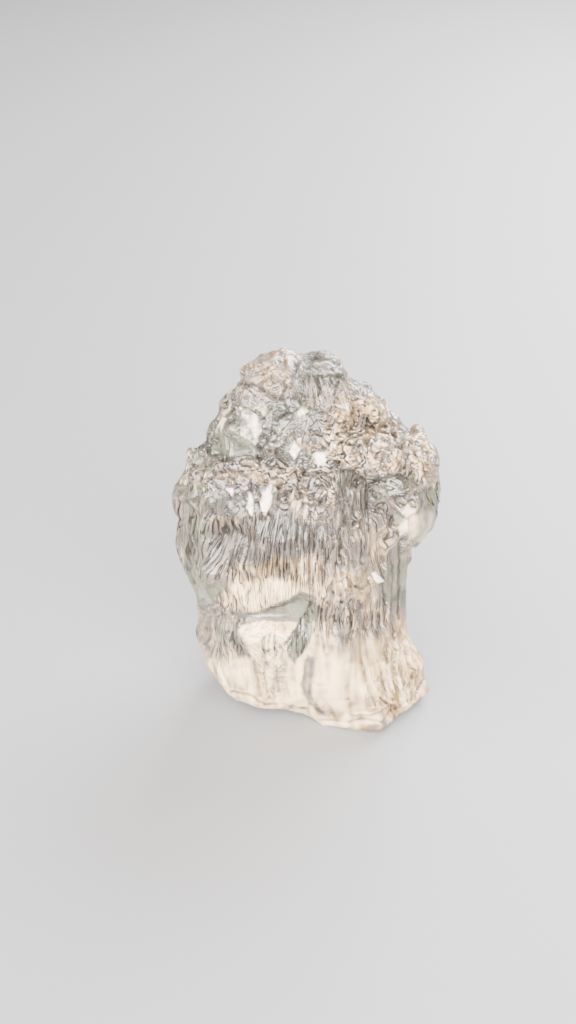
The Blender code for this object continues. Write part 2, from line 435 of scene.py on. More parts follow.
@dataclass(frozen=True)
class Chip:
    """A flat facet that is cut across the skin.

    Attributes:
        corners: Its corners in view, anticlockwise.
        lean: How far it rises for each millimetre across and up.
        sink: How far its middle lies under the skin.
        glint: How white it is painted, a painted glint that stands in for caught light.
    """

    corners: tuple[Place, ...]
    lean: Place
    sink: float = 0.0
    glint: float = 0.0

    def share(self, seen: np.ndarray) -> np.ndarray:
        """Returns 1 inside the chip and 0 outside it."""
        inside = np.full(len(seen), np.inf)
        for start, end in zip(self.corners, self.corners[1:] + self.corners[:1]):
            along = np.subtract(end, start)
            from_start = seen - np.array(start)
            off = (along[0] * from_start[:, 1] - along[1] * from_start[:, 0]) / np.hypot(*along)
            inside = np.minimum(inside, off)
        return smooth_rise(*CHIP_EDGE, inside)

    def height(self, skin: Skin) -> np.ndarray:
        """Returns how far the chip lifts each point of the skin."""
        from_middle = skin.wavered - np.mean(self.corners, axis=0)
        return (from_middle @ np.array(self.lean) - self.sink) * self.share(skin.wavered)


@dataclass(frozen=True)
class Swell:
    """A soft bulge, or a soft dent where its rise is below 0."""

    patch: Patch
    rise: float

    def height(self, skin: Skin) -> np.ndarray:
        """Returns how far the bulge lifts each point of the skin."""
        return self.rise * self.patch.share(skin.seen)


@dataclass(frozen=True)
class Bowl:
    """A small round etch pit, with its depth and its raised rim in radii."""

    centre: Place
    radius: float
    depth: float = 0.4
    rim: float = 0.25
    rim_width: float = 0.28

    def height(self, skin: Skin) -> np.ndarray:
        """Returns how far the pit lifts each point of the skin."""
        across, up = (skin.wavered - np.array(self.centre)).T
        ratio = np.hypot(across, up) / self.radius
        rim = self.rim * np.exp(-(((ratio - 1.0) / self.rim_width) ** 2))
        return self.radius * (rim - self.depth * smooth_fall(0.3, 1.0, ratio))


@dataclass(frozen=True)
class Rings:
    """Curved fracture rings round a patch's centre, with the pitch from one to the next."""

    patch: Patch
    pitch: float
    rise: float

    def height(self, skin: Skin) -> np.ndarray:
        """Returns how far the rings lift each point of the skin."""
        across, up = (skin.wavered - np.array(self.patch.centre)).T
        away = np.hypot(across, up * self.patch.reach[0] / self.patch.reach[1])
        return self.rise * np.cos(away * math.tau / self.pitch) * self.patch.share(skin.wavered)


@dataclass(frozen=True)
class Striae:
    """Fine growth lines whose last span runs along the crystal's long axis."""

    spans: Triple = (0.36, 1.0, 2.16)
    sharpness: float = 4.0
    rise: float = 0.07
    draw: float = 3.1

    def height(self, skin: Skin) -> np.ndarray:
        """Returns how far the growth lines lift each point of the skin."""
        level = noise_at(skin.unrolled, self.spans, self.draw)
        upright = 1.0 - skin.normals[:, 2] ** 2
        return self.rise * (1.0 - self.sharpness * np.abs(level)) * upright


@dataclass(frozen=True)
class Pits:
    """Rounded etch pits of many depths that meet in sharp rims."""

    span: float = 1.15
    depth: float = 0.18
    draw: float = 7.7
    depth_range: Range = (-0.3, 0.4)
    wall: Range = (0.0, 0.5)
    waver: Mottle = Mottle(0.5, 1.035, (1.3, 5.9, 9.4))

    def height(self, skin: Skin) -> np.ndarray:
        """Returns how far the pits lift each point of the skin."""
        places = skin.points + self.waver.moves(skin.points)
        near, following, centres = cells_at(places, self.span, self.draw)
        depths = self.depth * smooth_rise(*self.depth_range, PIT_DEPTH.level(centres))
        return -depths * smooth_rise(*self.wall, following - near)


@dataclass(frozen=True)
class Folds:
    """Winding ridges of etched crust, fine ones among broad ones."""

    broad_span: float = 1.5
    fine_span: float = 0.675
    broad_rise: float = 0.0715
    fine_rise: float = 0.0385
    sharpness: float = 4.5
    draw: float = 6.3
    waver: Mottle = Mottle(0.45, 1.05, (0.7, 3.9, 7.1))

    def height(self, skin: Skin) -> np.ndarray:
        """Returns how far the ridges lift each point of the skin."""
        places = skin.points + self.waver.moves(skin.points)
        broad = 1.0 - self.sharpness * np.abs(noise_at(places, self.broad_span, self.draw))
        fine = 1.0 - self.sharpness * np.abs(noise_at(places, self.fine_span, self.draw))
        return self.broad_rise * broad + self.fine_rise * fine


@dataclass(frozen=True)
class Facets:
    """Flat growth facets, one in each cell, that lean their own way.

    Attributes:
        span: How wide a facet is, along each axis.
        lean: How steeply the facets lean.
        draw: The draw of the cells.
    """

    span: Triple
    lean: float
    draw: float

    def tone(self, skin: Skin) -> np.ndarray:
        """Returns how light each point's facet is painted, from about -1 to 1: a painted light of its own.
        """
        _, _, centres = cells_at(skin.wandered, self.span, self.draw)
        return np.clip(PAINTED_FACET_LIGHT.level(centres), -1.0, 1.0)

    def height(self, skin: Skin) -> np.ndarray:
        """Returns how far the facets lift each point of the skin."""
        _, _, centres = cells_at(skin.wandered, self.span, self.draw)
        turn = FACET_TURN.level(centres) * math.tau
        tilt = FACET_TILT.level(centres)
        leans = np.stack((np.cos(turn), np.sin(turn), tilt), axis=1) * self.lean
        places = skin.wandered / np.array(self.span) + self.draw
        return np.einsum("ij,ij->i", (places - centres) * np.array(self.span), leans)


Form = Line | Ledge | Chip | Rings | Swell | Bowl

# The ledges: the crest between the upper and the middle tier, the brow over the hollow,
# the shelf on the shoulder, and the lower ledge.
LEDGES: tuple[Form, ...] = (
    Ledge(((2.1, 18.8), (1.6, 18.5), (0.7, 18.1), (-0.1, 18.0), (-0.6, 18.3), (-1.6, 18.5), (-2.6, 18.6),
          (-3.6, 19.0), (-4.3, 19.4), (-5.0, 19.2), (-5.7, 19.0), (-6.6, 19.4), (-7.2, 19.9),
          (-7.9, 19.9)), 0.5, 1.5, 0.14),
    Ledge(((1.9, 18.6), (2.8, 18.7), (3.4, 18.7), (3.8, 17.9), (4.3, 17.9), (5.0, 18.1), (6.1, 18.4),
          (6.6, 18.1)), 0.45, 1.1, 0.2),
    Ledge(((6.1, 16.8), (7.1, 17.0), (8.3, 17.3), (9.0, 18.1)), 0.22, 0.9, 0.12),
    Ledge(((-8.5, 9.5), (-7.5, 9.3), (-6.7, 8.8), (-5.7, 8.6), (-5.2, 8.8), (-4.4, 8.7), (-3.4, 8.8),
          (-2.8, 8.9), (-2.3, 9.2), (-1.3, 9.5), (-0.3, 10.1), (0.1, 9.9)), 0.3, 1.1),
)

# Broad bulges and dents: the knob's tips, the hollow, the recess right of it, the
# tooth and the notch beside the shoulder, and the bulges of the foot and the lower left.
SWELLS: tuple[Form, ...] = (
    Swell(Patch((3.4, 16.4), (1.2, 1.9), soft=0.5), -0.5),
    Swell(Patch((7.8, 21.7), (0.45, 0.5), soft=0.6), 0.35),
    Swell(Patch((6.9, 21.3), (0.4, 0.5), soft=0.6), -0.3),
    Swell(Patch((7.6, 5.9), (0.8, 1.1), soft=0.6), 0.45),
    Swell(Patch((0.9, 26.1), (1.9, 1.1), soft=0.5), 0.5),
    Swell(Patch((5.2, 23.0), (2.4, 1.0), -42.0, soft=0.6), 0.3),
    Swell(Patch((-7.0, 4.8), (1.2, 2.6), 15.0, soft=0.6), 0.55),
    Swell(Patch((-3.2, 2.2), (2.4, 0.9), -10.0, soft=0.6), 0.12),
)

# The knob: its fracture rings, the fold beside them, the line under it, and the
# streaks of the right tip.
KNOB: tuple[Form, ...] = (
    Rings(Patch((-3.0, 25.6), (0.9, 0.6), 30.0), 0.5, 0.05),
    Line(((-4.8, 24.5), (-3.9, 24.4), (-3.1, 24.0), (-2.1, 23.5), (-1.6, 23.5), (-1.4, 24.1)), -0.28,
         0.28),
    Line(((-4.4, 25.4), (-4.4, 24.8)), -0.12, 0.16),
    Line(((-2.2, 26.3), (-2.3, 25.7), (-2.7, 25.1), (-3.2, 24.6), (-3.6, 24.3)), 0.12, 0.26),
    Line(((-1.8, 26.9), (-1.4, 26.4), (-1.2, 25.4), (-1.3, 24.3), (-1.5, 23.8)), 0.14, 0.3),
    Line(((-0.7, 25.8), (-0.8, 25.2)), -0.2, 0.24),
    Line(((-0.8, 25.2), (-0.3, 24.7), (-0.1, 24.0), (0.1, 23.0)), 0.18),
    Line(((-0.5, 25.0), (-0.2, 24.3), (0.1, 23.5)), -0.14, 0.18),
    Line(((-0.1, 25.1), (0.0, 24.5)), 0.14, 0.16),
    Line(((0.3, 25.0), (0.6, 24.3), (0.6, 23.6)), 0.16, 0.18),
    Line(((0.8, 24.9), (0.8, 23.7)), -0.14, 0.16),
    Line(((1.9, 25.2), (1.8, 24.4)), 0.14, 0.16),
    Line(((2.1, 25.2), (2.1, 24.5)), -0.12, 0.14),
    Line(((2.4, 25.1), (2.3, 24.4)), 0.12, 0.14),
    Line(((-0.3, 25.6), (0.1, 26.0), (0.6, 26.2), (1.4, 26.2), (2.3, 25.7)), -0.14),
    Line(((-0.3, 25.2), (0.5, 25.2), (1.4, 25.1), (2.3, 25.2)), 0.16),
    Line(((1.7, 23.8), (1.8, 24.3), (2.2, 24.4), (2.3, 24.1), (2.0, 23.6)), 0.14, 0.16),
)

# The upper tier: facets, some with painted glints, cracks, and the crust on the right.
UPPER_TIER: tuple[Form, ...] = (
    Chip(((-4.9, 22.9), (-4.8, 21.9), (-4.6, 20.9), (-3.5, 20.1), (-3.2, 21.3), (-3.7, 22.6)),
         (-0.25, -0.3), 0.1, 0.15),
    Line(((-4.6, 22.6), (-4.5, 21.6), (-4.2, 21.0)), 0.12, 0.13),
    Line(((-4.2, 22.7), (-4.1, 21.5), (-3.7, 20.6)), -0.12, 0.13),
    Line(((-3.9, 22.4), (-3.8, 21.6), (-3.5, 20.9)), 0.12, 0.13),
    Chip(((-3.2, 21.9), (-2.4, 21.2), (-2.4, 22.8)), (0.3, -0.2), 0.08),
    Chip(((-1.2, 19.8), (-0.9, 19.2), (-0.5, 19.8), (-0.9, 20.5)), (-0.3, -0.5), glint=0.7),
    Chip(((0.5, 19.7), (0.8, 18.7), (1.2, 19.0), (1.3, 19.7)), (-0.2, -0.6), 0.05, 0.8),
    Chip(((-2.9, 19.9), (-2.9, 19.2), (-2.4, 19.3), (-2.4, 19.9)), (-0.3, -0.5)),
    Chip(((-6.0, 22.9), (-5.9, 21.0), (-5.0, 21.1), (-5.0, 22.7)), (-0.2, -0.15), 0.05),
    Chip(((-5.3, 20.9), (-5.2, 19.4), (-3.6, 19.5), (-3.7, 20.0), (-4.7, 20.8)), (0.1, 0.1), 0.1),
    Line(((-7.9, 20.2), (-7.7, 19.9), (-7.2, 20.1), (-7.1, 20.4)), -0.18),
    Line(((-3.4, 20.1), (-3.3, 19.3), (-3.3, 18.6)), -0.14, 0.16),
    Line(((-3.2, 21.9), (-2.8, 22.4), (-2.3, 22.8)), -0.1, 0.14),
    Line(((-3.4, 21.6), (-2.9, 21.2), (-2.4, 21.1), (-2.1, 20.8)), -0.16),
    Line(((-5.5, 20.8), (-5.4, 20.1), (-5.8, 19.2)), -0.14, 0.18),
    Line(((-6.3, 20.8), (-6.3, 20.0)), 0.14, 0.18),
    Line(((2.1, 20.9), (2.8, 21.1), (3.4, 21.3), (4.3, 21.6), (4.3, 22.1)), -0.14),
    Line(((2.6, 20.4), (3.1, 20.4), (3.6, 20.6), (4.1, 20.8), (4.7, 20.8), (5.4, 20.7)), 0.18, 0.26),
    Line(((2.1, 20.3), (2.7, 20.5), (3.0, 20.2), (3.1, 19.8), (2.8, 19.4), (2.1, 19.1), (1.6, 18.7)),
         -0.18),
    Line(((6.6, 21.0), (6.6, 20.1)), -0.26, 0.24),
    Line(((5.5, 21.9), (5.7, 21.2), (5.8, 20.5)), 0.14, 0.24),
    Line(((6.1, 21.7), (6.3, 21.0), (6.2, 20.3)), 0.14, 0.24),
)

# The middle tier: chips under the crest painted bright as glints, and the drops where growth lines end.
MIDDLE_TIER: tuple[Form, ...] = (
    Chip(((-5.6, 17.2), (-5.1, 16.6), (-5.1, 17.3)), (-0.3, -0.5), glint=0.7),
    Chip(((-4.2, 15.9), (-3.7, 15.3), (-3.7, 16.5), (-3.9, 17.1)), (-0.4, -0.3), glint=0.7),
    Chip(((-3.4, 16.3), (-2.9, 15.3), (-2.5, 16.1), (-2.4, 17.5), (-2.8, 17.7), (-3.0, 16.9)),
         (-0.3, -0.35), glint=0.65),
    Line(((-1.2, 16.4), (-0.8, 16.9), (-0.2, 17.1), (0.3, 17.0), (0.8, 16.6)), 0.2, 0.26),
    Line(((-0.6, 15.7), (-0.5, 16.2), (-0.1, 16.4), (0.3, 16.2)), 0.16, 0.22),
    Line(((-0.1, 18.5), (-0.5, 18.1), (-0.8, 17.5), (-0.6, 17.1)), -0.2),
    Line(((-8.7, 16.6), (-7.9, 16.3), (-7.3, 15.6), (-7.0, 16.7)), 0.2, 0.34),
    Line(((0.7, 11.9), (0.6, 10.9), (0.6, 9.9), (0.9, 9.7), (1.2, 9.9), (1.5, 10.6), (1.9, 11.5)), 0.16),
    Line(((1.1, 11.4), (1.1, 10.5)), -0.18),
    Line(((1.9, 11.0), (1.9, 10.3), (2.1, 9.7), (2.5, 9.5), (2.6, 9.9), (2.3, 10.6)), 0.14),
    Line(((2.7, 12.5), (2.6, 11.4), (2.6, 10.5)), 0.2),
    Chip(((2.8, 12.5), (2.8, 12.0), (4.4, 11.6)), (0.1, -0.4)),
    Line(((2.8, 11.1), (3.1, 10.5), (3.8, 10.3), (4.3, 10.6), (4.3, 11.2)), -0.14, 0.18),
    Chip(((4.5, 11.3), (4.9, 10.7), (5.4, 10.8), (4.7, 11.4)), (0.2, -0.4), -0.1, 0.7),
    Line(((3.0, 9.5), (3.0, 8.1), (3.0, 6.9)), -0.16),
    Line(((3.6, 9.5), (3.5, 8.7), (3.6, 8.0)), -0.14, 0.18),
    Line(((4.5, 8.8), (4.5, 7.4)), -0.14, 0.18),
    Line(((4.9, 8.6), (4.9, 7.0)), -0.14),
)

# The hollow under the brow, with its columns, and the smooth band right of it.
HOLLOW: tuple[Form, ...] = (
    Line(((4.1, 17.7), (4.6, 17.5), (5.1, 17.2), (5.6, 16.8), (5.9, 16.2), (6.6, 15.6)), 0.24, 0.26),
    Line(((3.7, 17.7), (3.4, 17.0), (3.4, 15.7), (3.4, 14.6)), 0.3, 0.24),
    Line(((3.1, 17.2), (3.0, 16.2)), 0.22),
    Line(((2.6, 15.8), (2.4, 14.3), (2.3, 12.3)), -0.2),
    Line(((2.8, 16.3), (2.6, 14.7)), -0.16, 0.16),
    Line(((3.2, 16.1), (3.2, 13.5)), -0.18, 0.16),
    Line(((3.7, 15.9), (3.6, 14.0)), -0.16, 0.16),
    Line(((4.1, 17.3), (4.1, 15.7), (4.3, 14.3)), -0.16, 0.18),
    Line(((4.3, 15.9), (4.3, 15.0), (4.6, 14.3)), 0.14),
    Line(((5.7, 15.2), (5.7, 14.5), (6.2, 14.7)), -0.22, 0.22),
    Line(((5.4, 12.8), (5.4, 10.9), (5.5, 8.7)), 0.16),
    Line(((6.3, 13.6), (6.35, 12.2), (6.35, 10.4), (6.3, 8.2)), -0.14, 0.16),
    Line(((5.8, 12.4), (5.9, 10.6), (5.8, 8.9)), -0.06, 0.12),
    Chip(((6.5, 15.5), (6.9, 15.2), (7.5, 15.6), (7.0, 16.3)), (0.1, -0.4), -0.05, 0.2),
    Chip(((6.2, 14.6), (6.4, 13.9), (7.0, 14.2), (7.0, 15.2)), (-0.3, -0.4), glint=0.15),
)

# The lower tier: the facet like a tent, the branched groove, flowing folds and the rim.
LOWER_TIER: tuple[Form, ...] = (
    Line(((0.3, 9.4), (-0.1, 8.6), (-0.7, 7.6), (-1.4, 6.6), (-1.9, 6.3)), -0.08, 0.24),
    Chip(((-4.4, 8.5), (-2.4, 8.35), (-1.3, 8.5), (-2.6, 8.55)), (0.0, -0.3), glint=0.3),
    Line(((-3.6, 8.8), (-2.2, 9.0), (-0.9, 9.4)), -0.06, 0.14),
    Line(((-0.3, 8.2), (-0.4, 7.1), (-0.7, 6.0)), 0.08, 0.14),
    Line(((0.2, 8.4), (0.0, 7.2), (-0.3, 6.2)), -0.08, 0.14),
    Line(((-1.9, 6.8), (-1.5, 6.1), (-0.8, 7.3)), 0.12, 0.16),
    Line(((1.1, 9.0), (1.1, 8.1), (1.2, 7.0), (1.4, 5.9)), 0.16),
    Line(((0.7, 9.1), (0.8, 8.1), (0.7, 7.2)), 0.14, 0.18),
    Line(((-5.4, 7.0), (-5.3, 5.9), (-5.2, 5.0)), 0.12, 0.18),
    Line(((-4.7, 5.7), (-4.4, 4.4), (-4.1, 3.3)), -0.05, 0.24),
    Line(((-3.7, 5.3), (-3.4, 4.1), (-3.2, 2.9)), -0.05, 0.24),
    Line(((-4.2, 5.6), (-3.9, 3.9)), 0.1),
    Line(((-2.9, 5.4), (-2.7, 4.4), (-2.6, 3.2)), 0.08),
    Line(((-3.0, 7.1), (-3.1, 6.4), (-2.9, 5.8)), -0.1, 0.14),
    Line(((-2.6, 7.2), (-2.7, 6.4), (-2.5, 5.7)), -0.1, 0.14),
    Line(((-2.2, 7.1), (-2.2, 6.2), (-2.1, 5.6)), -0.1, 0.14),
    Line(((0.1, 5.7), (-0.1, 4.8), (-0.3, 3.7), (-0.1, 3.0), (0.3, 2.3), (0.9, 1.9)), -0.05, 0.24),
    Line(((0.5, 5.6), (0.4, 4.3), (0.4, 3.0), (0.8, 2.3), (1.4, 1.7)), 0.05, 0.24),
    Line(((-5.2, 3.2), (-4.0, 3.0), (-3.4, 2.6), (-2.9, 2.3), (-1.7, 2.3), (-0.1, 2.0)), -0.14, 0.18),
    Line(((0.7, 1.3), (2.6, 1.1), (3.1, 1.2), (3.7, 1.3), (4.5, 1.2), (5.2, 1.2), (5.7, 1.8), (6.8, 2.5),
         (7.3, 2.7)), -0.1, 0.24),
    Line(((0.7, 3.7), (1.5, 3.7)), -0.06, 0.12),
    Line(((1.7, 2.6), (2.9, 2.7)), -0.06, 0.12),
    Line(((5.0, 2.8), (5.7, 2.3)), -0.14, 0.16),
    Line(((6.1, 7.2), (6.3, 6.0), (6.1, 4.6), (6.5, 3.4)), 0.16),
    Line(((5.4, 7.7), (5.7, 6.4), (5.6, 4.8), (6.0, 3.2)), 0.16),
    Line(((6.7, 6.8), (6.8, 5.7), (7.2, 4.8)), -0.16),
    Line(((6.5, 7.6), (6.9, 6.6), (7.1, 5.6), (7.6, 4.4)), 0.14, 0.18),
    Line(((5.2, 5.4), (5.2, 4.2), (5.5, 3.0)), -0.14, 0.18),
    Line(((4.9, 3.8), (5.4, 2.7), (6.2, 2.2)), 0.14, 0.18),
    Line(((7.4, 4.1), (7.0, 3.2), (7.2, 2.6), (7.8, 2.5)), 0.16, 0.18),
    Line(((8.1, 4.0), (7.6, 3.4), (7.5, 2.9)), -0.18, 0.16),
    Line(((6.6, 4.6), (6.8, 3.9), (6.7, 3.4)), -0.14, 0.18),
    Line(((4.3, 2.0), (5.2, 2.1), (6.1, 2.5)), 0.12, 0.18),
    Line(((3.2, 1.7), (4.2, 1.7), (5.0, 1.9)), 0.1, 0.16),
    Line(((-6.6, 6.6), (-6.3, 5.0), (-5.7, 3.8)), 0.08, 0.26),
    Line(((-6.0, 6.0), (-5.8, 4.6), (-5.3, 3.6)), -0.07, 0.22),
    Line(((-2.9, 6.4), (-2.9, 5.2), (-2.6, 4.0), (-2.4, 2.8)), 0.09, 0.24),
    Line(((-2.2, 5.6), (-2.1, 4.3), (-1.9, 3.2)), -0.07, 0.22),
    Line(((-1.2, 5.4), (-1.3, 4.2), (-1.1, 3.0)), 0.08, 0.22),
    Line(((-7.4, 9.2), (-7.0, 9.4), (-6.8, 9.0), (-6.1, 9.1), (-5.9, 8.8), (-6.2, 8.5), (-6.8, 8.7),
         (-7.2, 8.8), (-7.4, 9.1)), 0.2, 0.22),
    Line(((-5.6, 9.3), (-5.5, 8.6), (-5.0, 8.2), (-4.6, 7.8)), 0.16),
)

# The crust's own marks: the leaf-shaped ring, curved ridges and dark slots.
CRUST: tuple[Form, ...] = (
    Line(((1.4, 19.7), (2.1, 20.4), (2.7, 20.6), (3.1, 20.2), (3.0, 19.7), (2.6, 19.2), (2.0, 19.4),
         (1.4, 19.7)), 0.22, 0.22),
    Line(((2.1, 20.4), (2.8, 21.0), (3.6, 21.3), (4.1, 21.6)), 0.16),
    Line(((4.3, 22.0), (4.3, 21.2)), -0.24, 0.18),
    Line(((8.1, 18.6), (8.0, 17.7)), -0.2),
    Line(((3.7, 18.1), (3.9, 17.8)), -0.4, 0.24),
    Line(((-7.8, 20.3), (-7.6, 19.9), (-7.2, 20.1)), -0.2, 0.16),
)

# The crust's round etch pits: where pits of each radius are.
BOWL_PLACES: dict[float, tuple[Place, ...]] = {
    0.4: ((1.8, 22.6),),
    0.38: ((-1.9, 17.4),),
    0.34: ((-7.5, 20.1), (4.1, 20.4)),
    0.3: ((-5.2, 18.0), (2.5, 19.5), (1.0, 22.3), (2.3, 21.9), (0.2, 21.4), (-1.4, 20.5), (-2.2, 20.4)),
    0.26: ((-7.1, 17.8), (4.6, 22.5), (3.7, 21.0), (7.1, 20.3), (8.6, 19.7)),
    0.22: ((-4.2, 18.2), (-3.3, 18.8), (-3.1, 18.2), (4.3, 19.4), (5.2, 20.0), (3.4, 23.4), (3.6, 22.5),
           (2.2, 20.9), (8.1, 19.9), (6.3, 19.7), (5.6, 18.5)),
    0.2: ((-6.4, 18.5), (4.7, 18.4), (5.1, 18.5)),
}
BOWLS = tuple(Bowl(place, radius) for radius, places in BOWL_PLACES.items() for place in places)

FRONT_FORMS = (
    LEDGES + SWELLS + KNOB + UPPER_TIER + CRUST + BOWLS + MIDDLE_TIER + HOLLOW + LOWER_TIER
)


class Grain(Enum):
    """The kinds of surface: how strong its growth lines, facets and etch pits are."""

    SMOOTH = (0.0, 0.06, 0.0)
    FLOWING = (0.18, 0.12, 0.0)
    STRIATED = (1.0, 0.25, 0.0)
    HAIRY = (1.5, 0.1, 0.0)
    FACETED = (0.15, 0.9, 0.1)
    CRUSTED = (0.3, 0.35, 1.0)
    BROKEN = (0.6, 0.3, 0.0)
    FOLDED = (0.2, 0.3, 0.35)


@dataclass(frozen=True)
class Zone:
    """A part of the stone with its own tint and surface.

    Attributes:
        place: Where the zone is.
        grain: The kind of surface that it has.
        milk: 0 where the stone is clear, and 1 where it is milky white.
        warmth: 0 where it is a cool green, 0.5 a lilac grey and 1 a pale peach.
        shade: 0 where it is light, and 1 where it is dark; partly its own tone, partly painted shade.
    """

    place: Patch | Area
    grain: Grain
    milk: float
    warmth: float
    shade: float = 0.0


# The broad zones, which fade into each other.
BROAD_ZONES = (
    Zone(Patch((-3.6, 21.5), (4.6, 2.6), 20.0), Grain.FACETED, 0.4, 0.25, 0.34),
    Zone(Patch((-2.9, 25.4), (2.4, 2.2)), Grain.FOLDED, 0.5, 0.7, 0.06),
    Zone(Patch((0.9, 24.7), (1.8, 2.1)), Grain.STRIATED, 0.5, 0.35, 0.15),
    Zone(Patch((5.4, 20.8), (4.4, 2.8), -25.0), Grain.CRUSTED, 0.6, 0.85, 0.08),
    Zone(Patch((3.4, 24.2), (0.9, 0.7), -40.0), Grain.FOLDED, 0.55, 0.7, 0.15),
    Zone(Patch((-3.6, 17.9), (4.8, 0.9)), Grain.CRUSTED, 0.6, 0.75, 0.1),
    Zone(Patch((-7.9, 18.2), (1.3, 1.7)), Grain.CRUSTED, 0.6, 0.3, -0.02),
    Zone(Patch((-4.3, 16.3), (2.9, 1.0)), Grain.FACETED, 0.4, 0.4, 0.38),
    Zone(Patch((-5.5, 16.7), (1.6, 1.1)), Grain.FACETED, 0.3, 0.25, 0.6),
    Zone(Patch((0.2, 16.6), (2.0, 1.8)), Grain.CRUSTED, 0.6, 0.7, 0.34),
    Zone(Patch((-2.5, 13.6), (5.4, 1.7)), Grain.HAIRY, 0.45, 0.5, 0.6),
    Zone(Patch((-2.2, 11.4), (3.4, 0.9)), Grain.HAIRY, 0.6, 0.9, 0.36),
    Zone(Patch((-2.5, 9.7), (3.0, 1.2)), Grain.STRIATED, 0.95, 0.95, -0.15),
    Zone(Patch((-8.0, 13.0), (1.5, 3.4)), Grain.HAIRY, 0.45, 0.25, 0.24),
    Zone(Patch((-7.1, 10.2), (1.2, 0.9)), Grain.FLOWING, 0.3, 0.1, 0.15),
    Zone(Patch((4.0, 15.8), (2.0, 2.2)), Grain.STRIATED, 0.5, 0.5, 0.2),
    Zone(Patch((6.1, 10.8), (0.8, 2.6)), Grain.SMOOTH, 0.35, 0.2, 0.4),
    Zone(Patch((8.0, 15.5), (1.5, 2.0)), Grain.STRIATED, 0.45, 0.25, 0.24),
    Zone(Patch((7.7, 14.6), (1.3, 1.1)), Grain.FLOWING, 0.65, 0.4, -0.05),
    Zone(Patch((3.6, 10.6), (1.6, 1.2)), Grain.FOLDED, 0.65, 0.95, 0.0),
    Zone(Patch((3.4, 7.8), (2.5, 1.9), soft=0.7), Grain.STRIATED, 0.6, 0.65, 0.22),
    Zone(Patch((4.7, 4.6), (1.5, 2.0)), Grain.FLOWING, 0.6, 0.9, 0.06),
    Zone(Patch((-5.3, 4.6), (1.2, 1.8)), Grain.STRIATED, 0.82, 0.75, -0.2),
    Zone(Patch((-2.2, 3.8), (6.0, 3.6)), Grain.FLOWING, 0.86, 0.8, -0.08),
    Zone(Patch((3.2, 1.3), (4.4, 0.8), 8.0), Grain.FLOWING, 0.86, 0.85, -0.08),
    Zone(Patch((-6.0, 6.9), (1.7, 1.4), soft=0.6), Grain.STRIATED, 0.62, 0.35, -0.15),
    Zone(Patch((6.4, 4.4), (2.4, 3.4)), Grain.BROKEN, 0.76, 1.0, -0.15),
)
